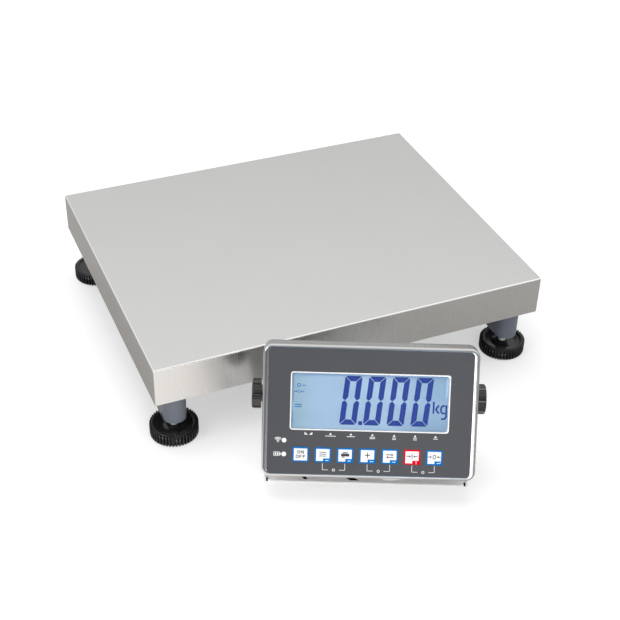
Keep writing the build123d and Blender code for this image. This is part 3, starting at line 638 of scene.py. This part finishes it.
class Shape(Tree):
    # A Geometry Nodes tree in millimetres, with its sizes as named inputs
    def __init__(self, name, sizes):
        super().__init__(bpy.data.node_groups.new(name, "GeometryNodeTree"), "GeometryNode")
        self.name = name
        self.sizes = sizes
        self.keys = {}
        for key, value in sizes.items():
            kind = "NodeSocketInt" if isinstance(value, int) else "NodeSocketFloat"
            socket = self.tree.interface.new_socket(key, in_out="INPUT", socket_type=kind)
            self.keys[key] = socket.identifier
        self.tree.interface.new_socket("Shape", in_out="OUTPUT", socket_type="NodeSocketGeometry")
        self.entry = self.tree.nodes.new("NodeGroupInput")

    def size(self, key):
        return Wire(self, self.entry.outputs[key])

    def point(self, **axes):
        return self.add("ShaderNodeCombineXYZ", None, axes)

    def moved(self, geometry, shift):
        return self.add("Transform", None, {"Geometry": geometry, "Translation": shift})

    def end(self, geometry, material):
        real = self.add("RealizeInstances", None, {"Geometry": geometry})
        done = self.add("SetMaterial", None, {"Geometry": real, "Material": finishes[material]})
        self.tree.links.new(done.socket, self.tree.nodes.new("NodeGroupOutput").inputs["Shape"])

    def bake(self, name, matrix):
        holder = bpy.data.objects.new(name + "Holder", bpy.data.meshes.new(name + "Holder"))
        bpy.context.scene.collection.objects.link(holder)
        modifier = holder.modifiers.new(self.name, "NODES")
        modifier.node_group = self.tree
        for key, value in self.sizes.items():
            modifier[self.keys[key]] = value
        bpy.context.view_layer.update()
        evaluated = holder.evaluated_get(bpy.context.evaluated_depsgraph_get())
        mesh = bpy.data.meshes.new_from_object(evaluated)
        mesh.transform(matrix)
        holder.modifiers.remove(modifier)
        bpy.data.objects.remove(holder)
        made = bpy.data.objects.new(name, mesh)
        bpy.context.scene.collection.objects.link(made)
        return made


studThread = {
    "foot": -112.0,
    "places": {
        "front_left": (-222, -174),
        "front_right": (222, -174),
        "back_left": (-222, 174),
        "back_right": (222, 174),
    },
    "sizes": {
        "radius": 5.0,
        "pitch": 1.5,
        "depth": 0.72,
        "length": 60.0,
        "steps": 22,
    },
}


def threadShape():
    # A ridge that winds up a core, as a rolled M10 thread does
    shape = Shape("studThread", studThread["sizes"])
    radius, pitch, depth, length = (shape.size(key) for key in ("radius", "pitch", "depth", "length"))
    root, run = radius - depth, length - pitch * 2
    turns = {"Resolution": shape.size("steps"), "Rotations": run / pitch, "Height": run}
    path = shape.add("CurveSpiral", None, {**turns, "Start Radius": root, "End Radius": root})
    path = shape.add("SetCurveNormal", {"mode": "Z_UP"}, {"Curve": path})
    profile = shape.add("CurvePrimitiveCircle", None, {"Resolution": 4, "Radius": depth})
    sockets = {"Curve": path, "Profile Curve": profile, "Fill Caps": True}
    ridge = shape.moved(shape.add("CurveToMesh", None, sockets), shape.point(Z=pitch))
    core = shape.add("MeshCylinder", None, {"Vertices": 32, "Radius": root, "Depth": length})
    core = shape.moved(core, shape.point(Z=length / 2))
    shape.end(shape.add("JoinGeometry", None, {"Geometry": [ridge, core]}), "zinc")
    return shape


def makeStuds():
    shape = threadShape()
    for corner, (x, y) in studThread["places"].items():
        place = Matrix.Scale(mm, 4) @ Matrix.Translation((x, y, studThread["foot"]))
        stud = shape.bake("threadedStud_" + corner, place)
        finishPiece(stud, "stud_" + corner, "zinc")
        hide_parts("foot_stud_" + corner)


footDisc = {
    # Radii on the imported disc: the grooves' floor lies between groove and root
    "groove": 26.2,
    "root": 26.75,
    "tip": 29.0,
    "deeper": 1.2,
    # Heights above the floor: the teeth's upper ends lie over below and move to the tops
    "below": 11.0,
    "rootTop": 14.7,
    "tipTop": 15.2,
}


def makeFeet():
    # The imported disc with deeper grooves, and its teeth drawn up to the lip
    floor = studio["floorHeight"]
    for corner, (x, y) in studThread["places"].items():
        work = bmesh.new()
        work.from_mesh(nodes["foot_disc_" + corner].data)
        bmesh.ops.remove_doubles(work, verts=work.verts, dist=1e-6)
        for vert in work.verts:
            radius = math.hypot(vert.co.x - x * mm, vert.co.y - y * mm) / mm
            height = (vert.co.z - floor) / mm
            if footDisc["groove"] < radius < footDisc["root"] and height < footDisc["below"]:
                inwards = 1 - footDisc["deeper"] / radius
                vert.co.x = x * mm + (vert.co.x - x * mm) * inwards
                vert.co.y = y * mm + (vert.co.y - y * mm) * inwards
            if radius > footDisc["root"] and height > footDisc["below"]:
                share = (radius - footDisc["root"]) / (footDisc["tip"] - footDisc["root"])
                top = footDisc["rootTop"] + share * (footDisc["tipTop"] - footDisc["rootTop"])
                vert.co.z = floor + top * mm
        disc = fromWork("serratedFoot_" + corner, work)
        finishPiece(disc, "foot_" + corner, "footBlack")
        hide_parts("foot_disc_" + corner)


coverScrew = {
    "seat": -27.0,
    "sizes": {
        "columns": 3,
        "span": 180.0,
        "rows": 142.2,
        "head": 2.7,
        "crown": 2.0,
        "height": 1.5,
        "recess": 3.4,
        "slot": 0.8,
        "shank": 1.5,
        "reach": 10.0,
    },
}


def screwShape():
    # One crosshead screw, set on a grid of places
    shape = Shape("coverScrews", coverScrew["sizes"])
    head, height, recess, slotWidth = (shape.size(key) for key in ("head", "height", "recess", "slot"))
    cone = {"Vertices": 28, "Radius Top": shape.size("crown"), "Radius Bottom": head, "Depth": height}
    head = shape.add("MeshCone", None, cone)
    tools = []
    for x, y in ((recess, slotWidth), (slotWidth, recess)):
        block = shape.add("MeshCube", None, {"Size": shape.point(X=x, Y=y, Z=height)})
        tools.append(shape.moved(block, shape.point(Z=height * 1.1)))
    head = shape.add("MeshBoolean", {"operation": "DIFFERENCE"}, {"Mesh 1": head, "Mesh 2": tools})
    radius, reach = shape.size("shank"), shape.size("reach")
    shank = shape.add("MeshCylinder", None, {"Vertices": 16, "Radius": radius, "Depth": reach})
    shank = shape.moved(shank, shape.point(Z=reach * -0.5))
    screw = shape.add("JoinGeometry", None, {"Geometry": [head, shank]})
    span, rows, columns = (shape.size(key) for key in ("span", "rows", "columns"))
    grid = {"Size X": span, "Size Y": rows, "Vertices X": columns, "Vertices Y": 2}
    places = shape.add("MeshGrid", None, grid)
    shape.end(shape.add("InstanceOnPoints", None, {"Points": places, "Instance": screw}), "fastener")
    return shape


def makeScrews():
    seat = Matrix.Translation((0, 0, coverScrew["seat"])) @ Matrix.Rotation(math.pi, 4, "X")
    screws = screwShape().bake("coverScrewSet", onFace @ Matrix.Scale(mm, 4) @ seat)
    finishPiece(screws, "head", "fastener")
    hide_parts("cover_screws")


makeStuds()
makeFeet()
makeScrews()
print("stage: threads and screws")


# Painted shadow: thin near-black pieces that fill the stand's slots and front notches, which look into
# shaded gaps

standSlotShade = {
    "floor": -119.0,
    "low": 0.1,
    "high": 1.1,
    "gap": 0.1,
    "openings": [
        # middle across, front edge, width, depth, how far the back leans to the left
        (-12.0, -48.0, 11.5, 12.0, 16.0),
        (-68.0, -48.0, 5.0, 12.0, 6.96),
        (-112.25, -51.0, 2.0, 5.0, 0.0),
        (112.25, -51.0, 2.0, 5.0, 0.0),
    ],
}


def makeStandSlotShade():
    work = bmesh.new()
    low, high, gap = standSlotShade["low"], standSlotShade["high"], standSlotShade["gap"]
    for x, y, width, depth, lean in standSlotShade["openings"]:
        outline = [
            (x - width / 2 + gap, y + gap),
            (x + width / 2 - gap, y + gap),
            (x + width / 2 - gap - lean, y + depth - gap),
            (x - width / 2 + gap - lean, y + depth - gap),
        ]
        face = work.faces.new([work.verts.new((px, py, low)) for px, py in outline])
        raised = bmesh.ops.extrude_face_region(work, geom=[face])["geom"]
        moved = [item for item in raised if isinstance(item, bmesh.types.BMVert)]
        bmesh.ops.translate(work, verts=moved, vec=(0, 0, high - low))
    bmesh.ops.recalc_face_normals(work, faces=work.faces)
    x, y = indicator["pivot"][:2]
    turn = Matrix.Rotation(math.radians(indicator["yaw"]), 4, "Z")
    place = Matrix.Scale(mm, 4) @ Matrix.Translation((x, y, standSlotShade["floor"])) @ turn
    finishPiece(fromWork("standSlotShade", work, place), "stand", "slotShade")


makeStandSlotShade()
print("stage: stand pad")


# Display figures

display = {
    "x": -28.0,
    "top": 40.65,
    "bottom": -14.0,
    "width": 18.8,
    "pitch": 26.0,
    "digits": 4,
    "segment": 6.0,
    "gap": 0.45,
    "slant": 5.9,
    # The cut corners of the segments, and the pointed ends at mid height
    "corner": 1.5,
    "mitre": 0.6,
    "notch": (0.62, 0.40),
    "tip": (0.6, 1.0),
    "depth": -1.99,
    "thickness": 0.05,
    "dot": [("bar", -10.4, -11.8, 4.4, 4.4)],
    # The unit kg: one upright, then strokes through points
    "unitStroke": 1.9,
    "unitStem": (69.3, 7.6, 13.4),
    "unitStrokes": [
        [(75.0, 10.4), (71.8, 5.6), (75.4, 1.0)],
        [(82.0, 9.6), (79.4, 9.9), (77.8, 8.2), (77.4, 5.6), (77.8, 3.0), (79.4, 1.3), (82.0, 1.6)],
        [(83.2, 10.6), (83.2, -2.2), (82.2, -4.3), (80.1, -5.0), (77.8, -4.6)],
    ],
    # Three status signs at the left
    "marks": [
        ("round", -78.4, 28.8, 4.6, 4.6, 2.3),
        ("round", -78.4, 28.8, 2.6, 2.6, 1.3),
        ("bar", -72.9, 28.8, 3.4, 1.1),
        ("arrow", -81.9, 21.8, 4.4, 0, 1.6, 0.45),
        ("arrow", -74.9, 21.8, 4.4, 180, 1.6, 0.45),
        ("round", -78.4, 21.8, 2.4, 3.6, 1.2),
        ("round", -78.4, 21.8, 1.2, 2.4, 0.6),
        ("bar", -78.9, 7.2, 8.0, 1.2),
        ("bar", -78.9, 4.8, 8.0, 1.2),
    ],
}


def zeroDigit(left):
    w, h = display["width"], display["top"] - display["bottom"]
    t, g, c = display["segment"], display["gap"], display["corner"]
    mitre = c * display["mitre"]
    innerNotch, outerNotch = (t * share for share in display["notch"])
    tipIn, tipOut = display["tip"]
    lean = math.tan(math.radians(display["slant"]))

    def across(edge, way):
        # A level bar; way points from the edge to the digit's middle
        ends = [(c + g, 0), (w - c - g, 0), (w - mitre - g, mitre)]
        ends += [(w - t - g, t), (t + g, t), (mitre + g, mitre)]
        return [(x, edge + way * y) for x, y in ends]

    def side(outer, sign, low, high):
        # An upright bar from its mitred corner end to its pointed middle end
        inner, mid = outer + sign * t, outer + sign * t / 2
        reach = 1 if high > low else -1
        return [
            (outer, low + reach * (c + g)),
            (outer + sign * mitre, low + reach * (mitre + g)),
            (inner, low + reach * (t + g)),
            (inner, high - reach * innerNotch),
            (mid + sign * tipIn, high - reach * g),
            (mid - sign * tipOut, high - reach * g),
            (outer, high - reach * outerNotch),
        ]

    shapes = [across(h, -1), across(0, 1)]
    shapes += [side(outer, sign, end, h / 2) for end in (h, 0) for outer, sign in ((0, 1), (w, -1))]
    return [[(left + x + (y - h) * lean, y + display["bottom"]) for x, y in shape] for shape in shapes]


def makeDisplay():
    depth, thick = display["depth"], display["thickness"]
    shapes = []
    for i in range(display["digits"]):
        shapes += zeroDigit(display["x"] + i * display["pitch"])
    figures = inlay("displayFigures", shapes + drawn(display["dot"]), depth, thick)
    stroke = display["unitStroke"]
    x, y, tall = display["unitStem"]
    unit = [bar(x, y, stroke, tall)] + [ribbon(points, stroke) for points in display["unitStrokes"]]
    pieces = [figures, inlay("displayUnit", unit, depth, thick)]
    finishPiece(join("displayReading", pieces), "head", "digitBlue")
    marks = inlay("displayMarks", drawn(display["marks"]), depth, thick)
    finishPiece(marks, "head", "digitFaint")


makeDisplay()
print("stage: display")


# Printed marks on the overlay

printed = {
    "depth": -0.1,
    "thickness": 0.04,
    "border": [("round", -0.3, 11.8, 174.2, 65.0, 3.0), ("round", -0.3, 11.8, 171.6, 62.4, 2.0)],
    "levelSign": [
        [(-71.0, -22.85), (-71.0, -25.85), (-67.3, -25.85)],
        [(-62.4, -22.85), (-62.4, -25.85), (-66.1, -25.85)],
    ],
    # Signs under the window: middle, width and number of bars below a pointer
    "signs": [
        (-42.5, -24.5, 11.5, 1),
        (-20.2, -24.5, 9.0, 1),
        (3.4, -24.5, 6.0, 2),
        (27.2, -24.7, 4.0, 2),
        (50.1, -24.7, 4.0, 2),
        (72.6, -24.7, 5.0, 1),
    ],
    "pointer": [(-1.5, -1.0), (1.5, -1.0), (0, 1.5)],
    "signBar": (2.4, 1.6, 0.7),  # first bar's drop, step, thickness
    # Brackets that join two keys: their ends, line width, then height and length of rise and foot
    "brackets": [(-50.5, -25.8), (-1.3, 23.6), (47.9, 72.7)],
    "bracketLine": 0.5,
    "bracketRise": (-61.5, 7.7),
    "bracketReach": (-65.35, 6.4),
    "bracketRing": [("round", 0, -65.15, 3.2, 3.2, 1.6), ("round", 0, -65.15, 2.0, 2.0, 1.0)],
    # Radio sign: middle, radii and half the width of its arcs
    "radio": (-99.9, -34.9),
    "radii": (2.2, 3.7, 5.2),
    "arcHalf": 0.35,
    "arcSteps": 8,
    # The radio sign's dot, then the battery
    "lampSigns": [
        ("round", -99.9, -34.5, 1.5, 1.5, 0.75),
        ("round", -101.0, -48.3, 7.0, 4.6, 0.8),
        ("round", -101.0, -48.3, 5.8, 3.4, 0.5),
        ("bar", -97.1, -48.3, 0.9, 2.0),
        ("bar", -102.2, -48.3, 1.5, 2.2),
        ("bar", -99.9, -48.3, 1.5, 2.2),
    ],
}


def radioArc(radius):
    # A quarter ring, out along its outer edge and back along its inner one
    x, y = printed["radio"]
    half, steps = printed["arcHalf"], printed["arcSteps"]
    arc = []
    for edge, way in ((radius + half, 1), (radius - half, -1)):
        for i in range(steps + 1)[::way]:
            angle = math.radians(45 + 90 * i / steps)
            arc.append((x + edge * math.cos(angle), y + edge * math.sin(angle)))
    return arc


def makePrint():
    depth, thick = printed["depth"], printed["thickness"]
    border = inlay("windowBorder", drawn(printed["border"]), depth, thick)
    finishPiece(border, "head", "printWhite")
    marks = list(printed["levelSign"])
    drop, step, tall = printed["signBar"]
    for x, y, width, rows in printed["signs"]:
        marks.append([(x + dx, y + dy) for dx, dy in printed["pointer"]])
        marks += [bar(x, y - drop - step * i, width, tall) for i in range(rows)]
    line, (riseY, rise), (footY, reach) = (printed["bracket" + key] for key in ("Line", "Rise", "Reach"))
    for x0, x1 in printed["brackets"]:
        for x, sign in ((x0, 1), (x1, -1)):
            marks.append(bar(x, riseY, line, rise))
            marks.append(bar(x + sign * reach / 2, footY + line / 2, reach, line))
        marks += drawn(printed["bracketRing"], (x0 + x1) / 2)
    marks += [radioArc(radius) for radius in printed["radii"]] + drawn(printed["lampSigns"])
    finishPiece(inlay("overlayMarks", marks, depth, thick), "head", "printWhite")


makePrint()
print("stage: printed marks")


# The shade where the front shell's fold begins

fold = {"width": 229.8, "height": 142.4, "corner": 7.2, "line": 0.85, "depth": 0.0, "thickness": 0.03}


def makeFoldLine():
    width, height, corner, line = (fold[key] for key in ("width", "height", "corner", "line"))
    outer = rounded(0, 0, width, height, corner)
    inner = rounded(0, 0, width - 2 * line, height - 2 * line, corner - line)
    ring = inlay("foldLine", [outer, inner], fold["depth"], fold["thickness"])
    finishPiece(ring, "head", "foldShade")


makeFoldLine()
print("stage: fold line")


# Key faces

keys = {
    "pitch": 24.5,
    "x": -1.3,
    "y": -48.25,
    "width": 17.9,
    "height": 16.8,
    "border": 1.65,
    # How far the surround's edges stand off the key, and the key's corner
    "surround": (0.05, 0.5, 1.3),
    "tab": (8.6, 4.7),
    "top": 0.5,
    "panel": 0.03,
    "ink": 0.02,
    # The switch's words: first letter's place, step, height on the cap
    "words": [("ON", -2.0, 4.0, 2.8), ("OFF", -3.6, 3.8, -2.3)],
}
capitals = {
    "width": 3.1,
    "height": 3.7,
    "stroke": 0.75,
    "corners": (1.3, 0.6),
    "slant": 1.5,
    # How far the arms of the F stop short, middle and top
    "short": (0.7, 0.3),
}
keyMarks = {
    # For each key its dark marks from the cap's middle and its light marks from the tab's middle
    "gross": (
        [("bar", 0, 3.0, 7.6, 0.8), ("bar", 0, 0.9, 7.6, 0.8), ("bar", 0, -1.2, 7.6, 0.8)],
        [("bar", 0, 0, 4.0, 0.7)],
    ),
    "print": (
        [("bar", 0, 0.6, 9.0, 3.0), ("bar", 0, 3.1, 5.6, 1.2), ("bar", -2.2, -1.7, 3.4, 1.0)],
        [("arrow", 0, 0, 3.4, 180)],
    ),
    "add": (
        [("bar", 0, 1.0, 5.6, 1.0), ("bar", 0, 2.75, 1.0, 2.5), ("bar", 0, -0.75, 1.0, 2.5)],
        [("arrow", 0, 0, 4.0, 180)],
    ),
    "recall": (
        [("arrow", 0, 2.2, 8.0, 0, 2.0, 0.45), ("arrow", 0, -0.6, 8.0, 180, 2.0, 0.45)],
        [("arrow", 0, 0, 4.0, 0)],
    ),
    "tare": (
        [
            ("arrow", -3.6, 1.0, 5.0, 0, 1.8, 0.4),
            ("arrow", 3.6, 1.0, 5.0, 180, 1.8, 0.4),
            ("bar", 0, 1.0, 0.8, 5.4),
        ],
        [("arrow", 0, 0, 3.2, 90)],
    ),
    "zero": (
        [
            ("arrow", -4.8, 1.0, 4.2, 0, 1.8, 0.4),
            ("arrow", 4.8, 1.0, 4.2, 180, 1.8, 0.4),
            ("round", 0, 1.0, 3.4, 5.0, 1.7),
            ("round", 0, 1.0, 1.9, 3.5, 0.95),
        ],
        [("arrow", 0, 0, 4.0, 180), ("bar", 2.0, 0.7, 0.5, 1.6)],
    ),
}


def keyPlace(i):
    return keys["x"] + (i - len(keyNames) // 2) * keys["pitch"], keys["y"]


def keyLetter(letter, x, y):
    # A plain capital, as outlines that don't overlap
    w, h, t = capitals["width"], capitals["height"], capitals["stroke"]
    left, right, low, high = x - w / 2, x + w / 2, y - h / 2, y + h / 2
    if letter == "O":
        outer, inner = capitals["corners"]
        return [rounded(x, y, w, h, outer), rounded(x, y, w - 2 * t, h - 2 * t, inner)]
    stem = [(left, low), (left + t, low)]
    if letter == "N":
        slant = capitals["slant"]
        up = [(left + t, high - slant), (right - t, low), (right, low), (right, high)]
        down = [(right - t, high), (right - t, low + slant), (left + t, high), (left, high)]
        return [stem + up + down]
    middle, top = (right - short for short in capitals["short"])
    arm = [(left + t, y - t / 2), (middle, y - t / 2), (middle, y + t / 2), (left + t, y + t / 2)]
    return [stem + arm + [(left + t, high - t), (top, high - t), (top, high), (left, high)]]


def makeKeySurrounds():
    # The overlay's edge round each key, over the gap that the key moves in
    inner, outer, corner = keys["surround"]
    outlines = []
    for i in range(len(keyNames)):
        for reach in (outer, inner):
            width, height = keys["width"] + 2 * reach, keys["height"] + 2 * reach
            outlines.append(rounded(*keyPlace(i), width, height, corner + reach))
    ring = inlay("keySurrounds", outlines, printed["depth"], printed["thickness"])
    finishPiece(ring, "head", "overlay")


def makeKeyFaces():
    width, height, (tabWidth, tabHeight) = keys["width"], keys["height"], keys["tab"]
    w, h = width / 2 - keys["border"], height / 2 - keys["border"]
    for i, name in enumerate(keyNames):
        x, y = keyPlace(i)
        body = "key_" + name
        outline = [(x + w, y + h), (x - w, y + h), (x - w, y - h)]
        if name == "on_off":
            outline += [(x + w, y - h)]
            dark, light = [], []
            for word, first, step, lift in keys["words"]:
                for place, letter in enumerate(word):
                    dark += keyLetter(letter, x + first + step * place, y + lift)
        else:
            cutX, cutY = x + width / 2 - tabWidth, y - height / 2 + tabHeight
            outline += [(cutX, y - h), (cutX, cutY), (x + w, cutY)]
            onCap, onTab = keyMarks[name]
            dark = drawn(onCap, x, y)
            light = drawn(onTab, x + width / 2 - tabWidth / 2, y - height / 2 + tabHeight / 2)
        panel = inlay("keyPanel_" + name, [outline], keys["top"], keys["panel"])
        finishPiece(panel, body, "printWhite")
        ink = inlay("keyInk_" + name, dark, keys["top"] + keys["panel"], keys["ink"])
        finishPiece(ink, body, "printDark")
        if light:
            tabInk = inlay("keyTab_" + name, light, keys["top"], keys["ink"])
            finishPiece(tabInk, body, "printWhite")


makeKeySurrounds()
makeKeyFaces()
print("stage: key faces")
